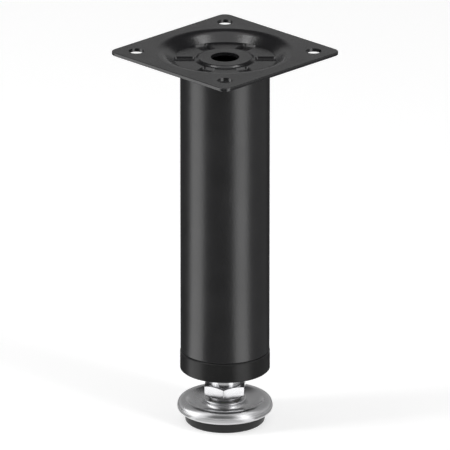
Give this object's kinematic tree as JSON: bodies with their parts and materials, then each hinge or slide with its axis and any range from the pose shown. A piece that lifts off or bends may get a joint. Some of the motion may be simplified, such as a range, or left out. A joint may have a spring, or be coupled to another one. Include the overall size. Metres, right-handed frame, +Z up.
{
  "type": "adjustable furniture leg",
  "caption": "Round black furniture leg with a dished square mounting plate and a plated screw-in swivel foot.",
  "frame": {"origin": "middle of the pad's underside, on the floor", "axes": "+Z up along the leg's axis to the mounting plate; X and Y along the plate's sides"},
  "size_m": [0.07, 0.07, 0.1671],
  "materials": {
    "black_coat": "fine satin powder coat",
    "black_plastic": "satin moulded",
    "plated_steel": "bright zinc plate",
    "white_nylon": "moulded nylon",
    "pad_plastic": "matte"
  },
  "bodies": {
    "leg": {"mounting_plate": "black_coat", "leg_tube": "black_coat", "end_plug": "black_plastic", "threaded_insert": "plated_steel"},
    "foot_seat": {"ball_liner": "white_nylon"},
    "stud": {"foot_stud": "plated_steel"},
    "cup": {"thrust_cup": "white_nylon"},
    "base": {"base_shell": "plated_steel", "base_pad": "pad_plastic"}
  },
  "joints": [
    {"name": "foot_height", "type": "slide", "parent": "leg", "child": "foot_seat", "axis": [0, 0, -1], "range_m": [-0.0038, 0.015]},
    {"name": "stud_turn", "type": "hinge", "parent": "foot_seat", "child": "stud", "pos_m": [0, 0, 0.0068], "axis": [0, 0, -1], "range_deg": [-915, 3605]},
    {"name": "base_tilt_x", "type": "hinge", "parent": "foot_seat", "child": "cup", "pos_m": [0, 0, 0.0068], "axis": [1, 0, 0], "range_deg": [-3, 3]},
    {"name": "base_tilt_y", "type": "hinge", "parent": "cup", "child": "base", "pos_m": [0, 0, 0.0068], "axis": [0, 1, 0], "range_deg": [-3, 3]}
  ],
  "couplings": [
    {"joint": "stud_turn", "follows": "foot_height", "rad_per_m": 4188.8}
  ]
}
